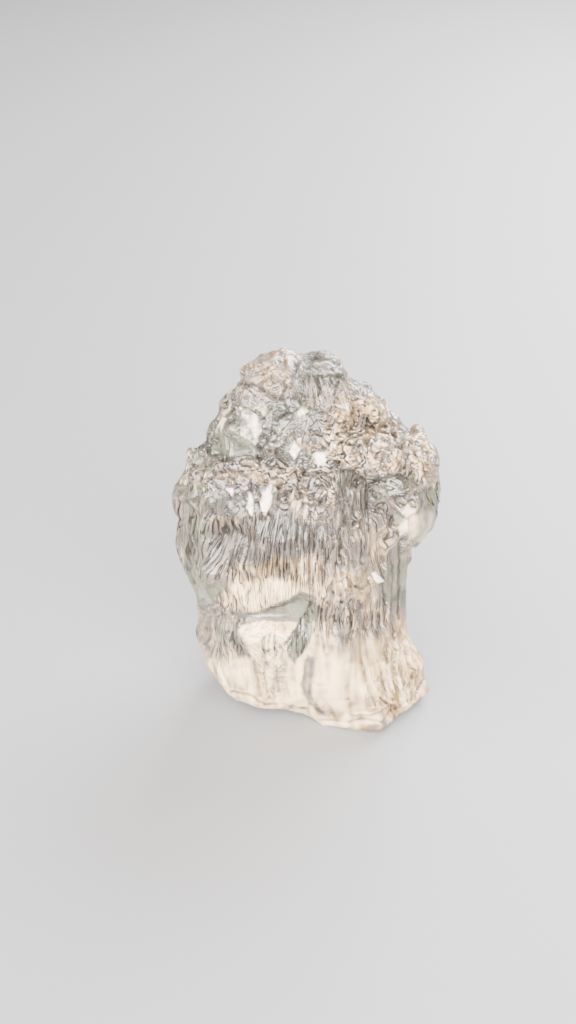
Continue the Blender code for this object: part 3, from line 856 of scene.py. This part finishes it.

# The narrow zones, with outlines of their own: facets, the lens-shaped recess, the
# white patches, the hollow and its columns, and the shoulder's lower side; the hollow
# and its columns are painted darker, a painted shade.
NARROW_ZONES = (
    Zone(Area(((-4.6, 22.8), (-3.6, 22.6), (-3.2, 21.6), (-3.4, 20.2), (-3.9, 20.3), (-4.6, 21.1))),
         Grain.FACETED, 0.45, 0.5, 0.32),
    Zone(Area(((-6.1, 21.0), (-4.6, 21.2), (-3.6, 20.1), (-4.6, 19.3), (-6.1, 19.6)), 0.2), Grain.SMOOTH,
         0.25, 0.1, 0.12),
    Zone(Area(((-0.8, 19.7), (-0.1, 20.1), (0.5, 19.0), (0.3, 18.3), (-0.6, 18.5)), 0.2), Grain.FACETED,
         0.3, 0.35, 0.35),
    Zone(Area(((-6.6, 17.0), (-5.9, 17.0), (-5.6, 16.8), (-5.3, 16.4), (-5.2, 15.7), (-5.9, 15.7),
         (-6.4, 15.8), (-6.6, 16.5)), 0.15), Grain.BROKEN, 0.3, 0.2, 0.5),
    Zone(Area(((-5.1, 8.7), (-3.4, 8.7), (-2.7, 9.0), (-1.3, 9.6), (-0.5, 10.1), (0.1, 9.9), (0.2, 9.5),
         (0.0, 8.8), (-0.3, 8.4), (-0.6, 8.1), (-3.0, 8.1), (-4.1, 8.1), (-5.0, 8.4))), Grain.FLOWING, 0.4,
         0.35, 0.18),
    Zone(Area(((-4.5, 7.8), (-4.1, 8.0), (-3.0, 8.1), (-0.6, 8.0), (-1.0, 7.3), (-1.5, 6.6), (-1.8, 6.7),
         (-2.2, 7.0), (-2.7, 7.2), (-3.1, 7.0), (-3.4, 6.4), (-3.6, 5.4), (-3.9, 6.1), (-4.3, 6.8),
         (-4.7, 7.4))), Grain.FOLDED, 1.0, 0.9, -0.2),
    Zone(Area(((-5.4, 7.6), (-4.8, 7.3), (-4.3, 6.4), (-3.9, 5.6), (-4.6, 5.7), (-5.2, 6.4)), 0.2),
         Grain.STRIATED, 0.4, 0.5, 0.22),
    Zone(Area(((-3.1, 7.0), (-2.4, 7.1), (-1.6, 6.5), (-1.3, 4.5), (-1.7, 2.6), (-2.6, 2.5), (-3.2, 4.0),
         (-3.5, 5.6)), 0.4), Grain.FOLDED, 0.8, 0.7, -0.05),
    Zone(Area(((0.3, 9.4), (-0.1, 8.6), (-0.7, 7.6), (-1.4, 6.6), (-1.3, 5.7), (-0.7, 5.0), (-0.1, 6.1),
         (0.2, 7.1), (0.6, 8.1), (0.8, 9.1)), 0.15), Grain.STRIATED, 0.4, 0.2, 0.1),
    Zone(Area(((0.1, 5.7), (0.6, 5.6), (0.4, 4.1), (0.4, 3.0), (1.4, 1.7), (0.9, 1.6), (0.3, 2.3),
         (-0.1, 3.0), (-0.3, 3.7)), 0.2), Grain.SMOOTH, 0.55, 0.55, 0.1),
    Zone(Area(((0.5, 3.9), (1.2, 4.6), (2.1, 5.1), (3.4, 5.1), (3.4, 3.9), (2.9, 2.7), (2.6, 1.9),
         (1.4, 1.8), (0.5, 3.0)), 0.4), Grain.SMOOTH, 1.0, 0.85, -0.2),
    Zone(Area(((-0.6, 3.9), (-0.4, 3.4), (0.0, 2.2), (-1.5, 2.4), (-1.4, 3.3), (-1.2, 3.9)), 0.15),
         Grain.SMOOTH, 1.0, 0.85),
    Zone(Area(((-0.7, 5.4), (-0.1, 5.9), (-0.2, 4.8), (-0.5, 3.9), (-0.8, 4.0))), Grain.SMOOTH, 0.95, 0.8),
    Zone(Area(((2.0, 18.5), (2.8, 18.6), (3.4, 18.6), (3.3, 17.8), (2.8, 16.3), (2.4, 16.5), (2.0, 17.4)),
         0.15), Grain.STRIATED, 0.3, 0.25, 0.5),
    Zone(Area(((3.7, 17.5), (4.4, 17.5), (5.4, 16.1), (5.7, 14.7), (5.0, 14.3), (4.4, 14.7), (3.7, 15.9)),
         0.2), Grain.STRIATED, 0.4, 0.5, 0.34),
    Zone(Area(((4.1, 17.8), (5.0, 18.2), (6.2, 18.4), (7.1, 18.0), (7.9, 17.5), (7.1, 17.0), (6.2, 16.5),
         (5.7, 16.7), (4.8, 17.3)), 0.15), Grain.FOLDED, 0.4, 0.25, 0.5),
    Zone(Area(((6.2, 15.8), (7.1, 15.8), (7.5, 15.6), (7.0, 15.2), (6.1, 15.4))), Grain.SMOOTH, 0.5, 0.4,
         0.1),
    Zone(Area(((4.4, 14.2), (5.7, 14.7), (6.0, 13.8), (5.8, 12.3), (4.3, 12.1)), 0.7), Grain.STRIATED,
         0.65, 0.85, -0.15),
)


class StoneMark(Enum):
    """The numbers that the stone's mesh carries at each point, painted shade and painted glints among
    them.
    """

    MILK = "milk"
    WARMTH = "warmth"
    SHADE = "shade"
    HAIR = "hair"
    CRUST = "crust"
    GLINT = "glint"


class Flow:
    """A number, a colour or a vector on its way through a material's nodes."""

    def __init__(self, recipe: "Recipe", socket: bpy.types.NodeSocket) -> None:
        """Wraps one output socket."""
        self.recipe = recipe
        self.socket = socket

    def leading(self, operation: str, other: "Flow | float") -> "Flow":
        """Works out a number from this one and another."""
        return self.recipe.maths(operation, self, other)

    def following(self, operation: str, other: float) -> "Flow":
        """Works out a number from a plain one and this one."""
        return self.recipe.maths(operation, other, self)

    __add__ = partialmethod(leading, "ADD")
    __radd__ = partialmethod(following, "ADD")
    __sub__ = partialmethod(leading, "SUBTRACT")
    __rsub__ = partialmethod(following, "SUBTRACT")
    __mul__ = partialmethod(leading, "MULTIPLY")
    __rmul__ = partialmethod(following, "MULTIPLY")


class Recipe:
    """A material and the nodes that make it."""

    MIX_LOW, MIX_HIGH, MIX_RESULT = 6, 7, 2

    def __init__(self, name: str) -> None:
        """Starts an empty material."""
        self.material = bpy.data.materials.new(name)
        self.material.use_nodes = True
        self.tree = self.material.node_tree
        self.tree.nodes.clear()

    def node(self, kind: str, inputs: dict[str | int, object], **settings: object) -> bpy.types.Node:
        """Adds one node.

        Args:
            kind: The node's type, without its ShaderNode prefix.
            inputs: A value or a flow for each named or numbered socket.
            settings: Its own settings, which are set first.

        Returns:
            The new node.
        """
        made = self.tree.nodes.new("ShaderNode" + kind)
        for name, value in settings.items():
            setattr(made, name, value)
        for socket, value in inputs.items():
            if isinstance(value, Flow):
                self.tree.links.new(made.inputs[socket], value.socket)
            else:
                made.inputs[socket].default_value = value
        return made

    def flow(
        self, kind: str, inputs: dict[str | int, object], output: str | int = 0, **settings: object
    ) -> Flow:
        """Adds one node and returns one of its outputs."""
        return Flow(self, self.node(kind, inputs, **settings).outputs[output])

    def maths(self, operation: str, *values: "Flow | float") -> Flow:
        """Works out one number from others."""
        return self.flow("Math", dict(enumerate(values)), operation=operation)

    def colour_mix(self, share: Flow, low: Flow | Colour, high: Flow | Colour) -> Flow:
        """Mixes two colours by a share."""
        inputs = {0: share, self.MIX_LOW: low, self.MIX_HIGH: high}
        return self.flow("Mix", inputs, self.MIX_RESULT, data_type="RGBA", clamp_factor=True)

    def mark(self, mark: StoneMark) -> Flow:
        """Reads a number that the mesh carries at each point."""
        return self.flow("Attribute", {}, "Fac", attribute_name=mark.value)

    def places(self) -> Flow:
        """Returns the places of the stone's points."""
        return self.flow("TexCoord", {}, "Object")

    def unrolled(self) -> Flow:
        """Returns the places as if the skin were unrolled round the stone's axis."""
        parts = self.node("SeparateXYZ", {0: self.places()}).outputs
        turn = self.maths("ARCTAN2", Flow(self, parts["X"]), 0.0 - Flow(self, parts["Y"]))
        across = turn * (UNROLLING_RADIUS * METRES_PER_MM)
        return self.flow("CombineXYZ", {"X": across, "Z": Flow(self, parts["Z"])})

    def noise(self, places: Flow, spans: Triple, detail: float = 3.0, swirl: float = 0.0) -> Flow:
        """Makes noise over the surface.

        Args:
            places: Where each point is.
            spans: How large its lumps are along each axis, in millimetres.
            detail: How much finer noise is laid over them.
            swirl: How far they are swirled.

        Returns:
            A number around 0.5.
        """
        scale = tuple(1.0 / (span * METRES_PER_MM) for span in spans)
        placed = self.flow("Mapping", {"Vector": places, "Scale": scale})
        inputs = {"Vector": placed, "Scale": 1.0, "Detail": detail, "Distortion": swirl}
        return self.flow("TexNoise", inputs, "Fac")

    def contours(self, level: Flow, count: float, sharpness: float) -> Flow:
        """Draws lines of equal level, as on a map.

        Args:
            level: What the lines follow.
            count: How many lines there are from 0 to 1.
            sharpness: How narrow the lines are.

        Returns:
            1 on the lines and 0 between them.
        """
        off_line = self.maths("PINGPONG", level * count, 0.5)
        return 1.0 - self.maths("MINIMUM", off_line * sharpness, 1.0)


@dataclass(frozen=True)
class PhenakiteFinish:
    """Phenakite: clear in some places and milky in others, and finely etched all over."""

    green: Colour = (0.20, 0.25, 0.12, 1.0)
    lilac: Colour = (0.24, 0.18, 0.17, 1.0)
    peach: Colour = (0.48, 0.285, 0.1, 1.0)
    white: Colour = (1.0, 0.73, 0.42, 1.0)
    # dark is the colour of painted shade and of the stone's darker tones; glint is the white of painted
    # glints.
    dark: Colour = (0.025, 0.02, 0.016, 1.0)
    glint: Colour = (1.0, 0.98, 0.98, 1.0)
    cool_glass: Colour = (0.68, 0.75, 0.62, 1.0)
    warm_glass: Colour = (0.86, 0.74, 0.60, 1.0)
    ior: float = 1.655
    shine: float = 0.3
    glass_roughness: float = 0.2
    milk_roughness: float = 0.25
    milk_transmission: float = 0.2
    milk_most: float = 0.75
    whitening_from: float = 0.6
    whitening: float = 2.5
    absorption_colour: Colour = (0.88, 0.86, 0.78, 1.0)
    absorption_density: float = 14.0
    hair_spans: Triple = (0.23, 1.0, 3.0)
    hair_detail: float = 1.2
    hair_swirl: float = 0.2
    hair_count: float = 5.0
    crust_spans: Triple = (1.2, 1.2, 1.3)
    crust_detail: float = 2.0
    crust_swirl: float = 0.9
    crust_count: float = 7.0
    line_sharpness: float = 5.0
    line_depth: float = 0.1
    line_shade: float = 2.3
    line_end: float = 1.4
    frost_spans: Triple = (0.3, 0.3, 0.6)
    frost_depth: float = 0.004

    def material(self) -> bpy.types.Material:
        """Makes the stone's material."""
        recipe = Recipe(STONE_SLOT)
        milk = recipe.mark(StoneMark.MILK)
        warmth = recipe.mark(StoneMark.WARMTH)
        lines = self.etch_lines(recipe)
        bump = self.relief(recipe, lines)
        # The etched lines get painted shade too, fainter where the stone is milkier.
        shade = recipe.mark(StoneMark.SHADE) + lines * (self.line_end - milk) * self.line_shade
        glass = recipe.colour_mix(warmth, self.cool_glass, self.warm_glass)
        both = {"IOR": self.ior, "Specular IOR Level": self.shine, "Normal": bump}
        clear = {
            "Base Color": recipe.colour_mix(shade, glass, self.dark),
            "Roughness": self.glass_roughness,
            "Transmission Weight": 1.0,
        }
        milky = {
            "Base Color": self.tint(recipe, milk, warmth, shade),
            "Roughness": self.milk_roughness,
            "Transmission Weight": self.milk_transmission,
        }
        clear = recipe.flow("BsdfPrincipled", both | clear)
        milky = recipe.flow("BsdfPrincipled", both | milky)
        surface = recipe.flow("MixShader", {0: milk * self.milk_most, 1: clear, 2: milky})
        inputs = {"Color": self.absorption_colour, "Density": self.absorption_density}
        depth = recipe.flow("VolumeAbsorption", inputs)
        recipe.node("OutputMaterial", {"Surface": surface, "Volume": depth})
        return recipe.material

    def tint(self, recipe: Recipe, milk: Flow, warmth: Flow, shade: Flow) -> Flow:
        """Returns the milky body's colour: green, lilac or peach, whiter where milkiest, with painted
        shade and glints.
        """
        tint = recipe.colour_mix(warmth * 2.0, self.green, self.lilac)
        tint = recipe.colour_mix(warmth * 2.0 - 1.0, tint, self.peach)
        tint = recipe.colour_mix((milk - self.whitening_from) * self.whitening, tint, self.white)
        tint = recipe.colour_mix(shade, tint, self.dark)
        return recipe.colour_mix(recipe.mark(StoneMark.GLINT), tint, self.glint)

    def etch_lines(self, recipe: Recipe) -> Flow:
        """Returns 1 in the fine etched lines and 0 between them."""
        hair = recipe.noise(recipe.unrolled(), self.hair_spans, self.hair_detail, self.hair_swirl)
        hair = recipe.contours(hair, self.hair_count, self.line_sharpness)
        crust = recipe.noise(recipe.places(), self.crust_spans, self.crust_detail, self.crust_swirl)
        crust = recipe.contours(crust, self.crust_count, self.line_sharpness)
        hair = hair * recipe.mark(StoneMark.HAIR)
        return recipe.maths("MAXIMUM", hair, crust * recipe.mark(StoneMark.CRUST))

    def relief(self, recipe: Recipe, lines: Flow) -> Flow:
        """Returns the surface's direction, cut by the etched lines and lightly frosted."""
        frost = recipe.noise(recipe.places(), self.frost_spans)
        height = frost * self.frost_depth - lines * self.line_depth
        return recipe.flow("Bump", {"Height": height, "Distance": METRES_PER_MM, "Strength": 1.0})


@dataclass(frozen=True)
class Tones:
    """How the stone's tints vary, and how strongly its relief shows in them as painted shade and light."""

    milk: float = 0.55
    warmth: float = 0.55
    shade: float = 0.12
    milk_mottle: Mottle = Mottle(0.25, 3.6, (4.0,))
    warmth_mottle: Mottle = Mottle(0.35, 3.0, (6.0,))
    fine_warmth: Mottle = Mottle(0.4, 0.9, (6.0,))
    broad_patches: Mottle = Mottle(0.16, 1.3, (8.0,))
    fine_patches: Mottle = Mottle(0.1, 0.5, (3.0,))
    streaks: Mottle = Mottle(0.22, (0.45, 1.0, 2.6), (5.0,))
    ledge_shade: float = 0.3
    line_shade: float = 0.35
    relief_softening: int = 8
    crest_height: float = 0.07
    crest_highlight: float = 0.15
    crest_shade: float = 0.4
    hollow_shade: float = 0.7
    painted_facet_light: float = 0.3
    facet_glint: float = 0.25
    facet_crust: float = 0.3
    bright_facets: Range = (0.6, 1.0)
    faceted_enough: Range = (0.5, 0.9)
    hairy: Range = (0.2, 1.2)


@dataclass
class Crystal:
    """The whole stone: its finer skin, its tints and its finish.

    The skin is made of quads of the first size for the broad forms, and of the second
    size, which is halved in front, for the fine ones. It is softened before each, but not
    at its flat foot, and polished at the end. Carving takes the calm height above the
    base to reach its full depth. Chips and the flat prism face lack a share of the
    texture. A range runs from where a thing starts to where it is complete.
    """

    first_mesh: float = 0.19
    second_mesh: float = 0.22
    first_softening: int = 8
    second_softening: int = 1
    polish_share: float = 0.4
    merging: float = 0.001
    foot: float = 0.05
    calm_height: float = 0.5
    front_facing: float = 0.05
    sharp_angle: float = 36.0
    chip_calm: float = 0.8
    plane_calm: float = 0.85
    plane_foot: Range = (2.4, 3.4)
    plane_top: Range = (11.6, 12.6)
    plane_facing: Range = (0.84, 0.93)
    crust_foot: Range = (16.0, 20.0)
    low_top: Range = (6.0, 10.0)
    forms: tuple[Form, ...] = FRONT_FORMS
    zones: tuple[Zone, ...] = BROAD_ZONES + NARROW_ZONES
    large_facets: Facets = Facets((1.7, 1.7, 2.4), 0.3, 1.9)
    small_facets: Facets = Facets((0.7, 0.7, 0.9), 0.34, 4.3)
    tones: Tones = Tones()
    finish: PhenakiteFinish = PhenakiteFinish()

    def build(self) -> bpy.types.Object:
        """Makes the stone in place of its plain solid."""
        stone = self.copy_of_solid()
        self.even_out(stone, self.first_mesh)
        self.carve(stone, self.broad_heights, self.first_softening)
        self.even_out(stone, self.second_mesh)
        self.refine_front(stone)
        self.carve(stone, self.fine_heights, self.second_softening)
        self.soften(stone, 1, self.polish_share)
        self.mark(stone)
        stone.data.materials.clear()
        stone.data.materials.append(self.finish.material())
        stone.data.shade_smooth()
        stone.data.set_sharp_from_angle(angle=math.radians(self.sharp_angle))
        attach(stone, "root")
        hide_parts(STONE_NODE)
        return stone

    def copy_of_solid(self) -> bpy.types.Object:
        """Returns a merged copy of the plain solid."""
        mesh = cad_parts[STONE_NODE].data.copy()
        bm = bmesh.new()
        bm.from_mesh(mesh)
        bmesh.ops.remove_doubles(bm, verts=bm.verts, dist=self.merging * METRES_PER_MM)
        bm.to_mesh(mesh)
        bm.free()
        return new_object("phenakite", mesh)

    def even_out(self, stone: bpy.types.Object, size: float) -> None:
        """Gives the stone an even skin of quads of one size."""
        remesh = stone.modifiers.new("even", "REMESH")
        remesh.mode = "VOXEL"
        remesh.voxel_size = size * METRES_PER_MM
        graph = bpy.context.evaluated_depsgraph_get()
        settled = bpy.data.meshes.new_from_object(stone.evaluated_get(graph))
        stone.modifiers.clear()
        stone.data = settled

    def refine_front(self, stone: bpy.types.Object) -> None:
        """Cuts each quad that faces the viewer into four."""
        back = SIGHT.back
        bm = bmesh.new()
        bm.from_mesh(stone.data)
        front = [face for face in bm.faces if face.normal.dot(back) > self.front_facing]
        near = {edge for face in front for edge in face.edges}
        bmesh.ops.subdivide_edges(bm, edges=list(near), cuts=1, use_grid_fill=True)
        bm.to_mesh(stone.data)
        bm.free()

    def carve(
        self, stone: bpy.types.Object, heights: Callable[[Skin], np.ndarray], softening: int
    ) -> None:
        """Evens the skin out and moves it out and in.

        Args:
            stone: The object whose skin is carved.
            heights: What says how far each point moves along its normal.
            softening: How often the skin is evened out first.
        """
        self.soften(stone, softening)
        skin = Skin.of(stone.data)
        calm = smooth_rise(0.0, self.calm_height, skin.points[:, 2])
        skin.points += skin.normals * (heights(skin) * calm)[:, None]
        low, high = (np.array(corner) / METRES_PER_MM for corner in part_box(STONE_NODE))
        skin.points = np.clip(skin.points, low, high)
        skin.write(stone.data)

    def soften(self, stone: bpy.types.Object, rounds: int, share: float = 0.5) -> None:
        """Evens the skin out above the flat foot.

        Args:
            stone: The object whose skin is evened out.
            rounds: How often each point is drawn towards its neighbours.
            share: How far it is drawn each time.
        """
        skin = Skin.of(stone.data)
        raised = skin.points[:, 2] >= self.foot
        skin.points[raised] = skin.softened(rounds, share)[raised]
        skin.write(stone.data)

    def of_kind(self, *kinds: type) -> list[Form]:
        """Returns the forms of some kinds."""
        return [form for form in self.forms if isinstance(form, kinds)]

    def broad_heights(self, skin: Skin) -> np.ndarray:
        """Returns how far the ledges, the bulges and the large facets lift the skin."""
        ledges = sum(ledge.height(skin) for ledge in self.of_kind(Ledge))
        swells = sum(swell.height(skin) for swell in self.of_kind(Swell))
        facets = self.large_facets.height(skin) * self.grain(skin)[:, 1] * self.calm(skin)
        return ledges * skin.facing + swells + facets

    def fine_heights(self, skin: Skin) -> np.ndarray:
        """Returns how far chips, lines, growth lines, pits and folds lift the skin."""
        forms = sum(form.height(skin) for form in self.of_kind(Line, Chip, Rings, Bowl))
        chips = sum(chip.share(skin.wavered) for chip in self.of_kind(Chip))
        striated, faceted, crusted = self.grain(skin).T
        texture = Striae().height(skin) * striated
        texture += self.small_facets.height(skin) * faceted
        texture += (Pits().height(skin) + Folds().height(skin)) * crusted
        plain = 1.0 - self.chip_calm * np.clip(chips, 0.0, 1.0) * skin.facing
        return texture * self.calm(skin) * plain + forms * skin.facing

    def calm(self, skin: Skin) -> np.ndarray:
        """Returns how much texture the skin bears: little on the flat prism face on the right."""
        z = skin.points[:, 2]
        within = smooth_rise(*self.plane_foot, z) * smooth_fall(*self.plane_top, z)
        flat = within * smooth_rise(*self.plane_facing, skin.normals[:, 0])
        return 1.0 - self.plane_calm * flat

    def zone_shares(self, skin: Skin) -> list[np.ndarray]:
        """Returns how much of each point lies in each zone."""
        places = {Patch: skin.wavered + ZONE_WAVER.moves(skin.points), Area: skin.wavered}
        return [zone.place.share(places[type(zone.place)]) * skin.facing for zone in self.zones]

    def grain(self, skin: Skin) -> np.ndarray:
        """Returns how strong growth lines, facets and etch pits are at each point."""
        z = skin.points[:, 2, None]
        crust = smooth_rise(*self.crust_foot, z)
        low = smooth_fall(*self.low_top, z)
        grain = np.array(Grain.STRIATED.value) * (1.0 - crust - low)
        grain = grain + np.array(Grain.CRUSTED.value) * crust
        grain = grain + np.array(Grain.FLOWING.value) * low
        for zone, share in zip(self.zones, self.zone_shares(skin), strict=True):
            grain += (np.array(zone.grain.value) - grain) * share[:, None]
        return grain

    def tints(self, skin: Skin) -> np.ndarray:
        """Returns the milkiness, the warmth and the shade of the zones, as three rows."""
        tones = self.tones
        milk = tones.milk + tones.milk_mottle.level(skin.points)
        warmth = tones.warmth + tones.warmth_mottle.level(skin.points)
        tints = np.stack((milk, warmth, np.full(len(milk), tones.shade)))
        for zone, share in zip(self.zones, self.zone_shares(skin), strict=True):
            aim = np.array((zone.milk, zone.warmth, zone.shade))
            tints += (aim[:, None] - tints) * share
        return tints

    def relief(self, skin: Skin) -> tuple[np.ndarray, np.ndarray]:
        """Returns how far each point is on a crest, and how far it is in a hollow."""
        off = skin.points - skin.softened(self.tones.relief_softening)
        height = np.einsum("ij,ij->i", off, skin.normals) / self.tones.crest_height
        return np.clip(height, 0.0, 1.0), np.clip(-height, 0.0, 1.0)

    def mark(self, stone: bpy.types.Object) -> None:
        """Writes the numbers that the finish reads at each point."""
        skin = Skin.of(stone.data)
        tones = self.tones
        milk, warmth, shade = self.tints(skin)
        warmth += tones.fine_warmth.level(skin.points)
        # Painted shadow under the ledges' edges, and painted shade in the grooves and at the ridges' feet.
        ledges = sum(ledge.under(skin) for ledge in self.of_kind(Ledge))
        lines = np.clip(sum(line.dark(skin) for line in self.of_kind(Line)), 0.0, 1.0)
        shade += (tones.ledge_shade * ledges + tones.line_shade * lines) * skin.facing
        # Crests get a painted highlight and hollows painted shade, in the milk and shade below.
        crest, hollow = self.relief(skin)
        # Painted glints: the chips painted white, and below, the brightest small facets.
        glint = sum(chip.glint * chip.share(skin.wavered) for chip in self.of_kind(Chip))
        glint *= skin.facing
        striated, faceted, crusted = self.grain(skin).T * (1.0 - glint)
        # Each small facet's painted light, and painted glints on the brightest ones.
        painted_facet_light = self.small_facets.tone(skin)
        bright = smooth_rise(*tones.bright_facets, painted_facet_light)
        glint += tones.facet_glint * bright * smooth_rise(*tones.faceted_enough, faceted)
        patches = tones.broad_patches.level(skin.points) + tones.fine_patches.level(skin.points)
        patches += tones.streaks.level(skin.unrolled)
        patches += tones.painted_facet_light * painted_facet_light * faceted
        milk += patches + tones.crest_highlight * crest + glint
        shade += tones.hollow_shade * hollow - tones.crest_shade * crest - patches - glint
        marks = {
            StoneMark.MILK: milk,
            StoneMark.WARMTH: warmth,
            StoneMark.SHADE: shade,
            StoneMark.HAIR: smooth_rise(*tones.hairy, striated),
            StoneMark.CRUST: tones.facet_crust * faceted + crusted,
            StoneMark.GLINT: glint,
        }
        for mark, values in marks.items():
            attribute = stone.data.attributes.new(mark.value, "FLOAT", "POINT")
            attribute.data.foreach_set("value", np.clip(values, 0.0, 1.0).astype(np.float32))


@dataclass(frozen=True)
class Lamp:
    """One soft square lamp, with its power in watts."""

    name: str
    place: Triple
    size: float
    power: float
    colour: Triple


def new_object(name: str, data: bpy.types.ID) -> bpy.types.Object:
    """Makes an object and puts it in the scene."""
    made = bpy.data.objects.new(name, data)
    bpy.context.scene.collection.objects.link(made)
    return made


def put(thing: bpy.types.Object, place: Vector, direction: Vector) -> None:
    """Puts a lamp or the camera at a place in metres, looking in a direction."""
    thing.location = place
    thing.rotation_mode = "QUATERNION"
    thing.rotation_quaternion = direction.to_track_quat("-Z", "Y")


@dataclass
class Studio:
    """The pale floor, the soft lamps, the plain surroundings and the camera."""

    floor_size: float = 1200.0
    floor_colour: Colour = (0.155, 0.155, 0.16, 1.0)
    floor_roughness: float = 0.6
    surroundings: Colour = (0.57, 0.56, 0.57, 1.0)
    surroundings_strength: float = 1.3
    lens: float = 60.0
    sensor: float = 36.0
    nearest_seen: float = 1.0
    lamps: tuple[Lamp, ...] = (
        Lamp("key", (-155.0, -100.0, 135.0), 290.0, 4.0, (1.0, 0.96, 0.9)),
        Lamp("rim", (80.0, 125.0, 110.0), 150.0, 2.5, (0.95, 0.97, 1.0)),
        Lamp("fill", (40.0, -165.0, 105.0), 210.0, 4.3, (1.0, 0.95, 0.9)),
    )

    def build(self) -> None:
        """Makes the whole studio."""
        self.build_floor()
        for lamp in self.lamps:
            self.build_lamp(lamp)
        self.build_surroundings()
        self.build_camera()

    def build_floor(self) -> None:
        """Makes the floor that the stone stands on."""
        mesh = bpy.data.meshes.new("floor")
        bm = bmesh.new()
        bmesh.ops.create_grid(bm, x_segments=1, y_segments=1, size=self.floor_size * METRES_PER_MM)
        bm.to_mesh(mesh)
        bm.free()
        recipe = Recipe("pale_floor")
        inputs = {"Base Color": self.floor_colour, "Roughness": self.floor_roughness}
        recipe.node("OutputMaterial", {"Surface": recipe.flow("BsdfPrincipled", inputs)})
        mesh.materials.append(recipe.material)
        new_object("floor", mesh)

    def build_lamp(self, lamp: Lamp) -> None:
        """Hangs one lamp and turns it to the stone."""
        light = bpy.data.lights.new(lamp.name, "AREA")
        light.size = lamp.size * METRES_PER_MM
        light.energy = lamp.power
        light.color = lamp.colour
        hung = new_object(lamp.name, light)
        hung.visible_camera = False
        place = Vector(lamp.place) * METRES_PER_MM
        put(hung, place, Vector(SIGHT.aim) * METRES_PER_MM - place)

    def build_surroundings(self) -> None:
        """Makes the plain grey surroundings."""
        world = bpy.data.worlds.new("surroundings")
        world.use_nodes = True
        background = world.node_tree.nodes["Background"]
        background.inputs["Color"].default_value = self.surroundings
        background.inputs["Strength"].default_value = self.surroundings_strength
        bpy.context.scene.world = world

    def build_camera(self) -> None:
        """Puts the camera at the eye of the line of sight."""
        camera = bpy.data.cameras.new("camera")
        camera.lens = self.lens
        camera.sensor_width = self.sensor
        camera.clip_start = self.nearest_seen * METRES_PER_MM
        seat = new_object("camera", camera)
        put(seat, SIGHT.eye * METRES_PER_MM, -SIGHT.back)
        bpy.context.scene.camera = seat


def main() -> None:
    """Builds the stone and the studio, and logs how many faces the stone has."""
    logging.basicConfig(level=logging.INFO, format="%(name)s: %(message)s")
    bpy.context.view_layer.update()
    stone = Crystal().build()
    LOG.info("%s: %d faces", stone.name, len(stone.data.polygons))
    Studio().build()
    LOG.info("studio: floor, lamps, surroundings and camera")


if __name__ == "__main__":
    main()
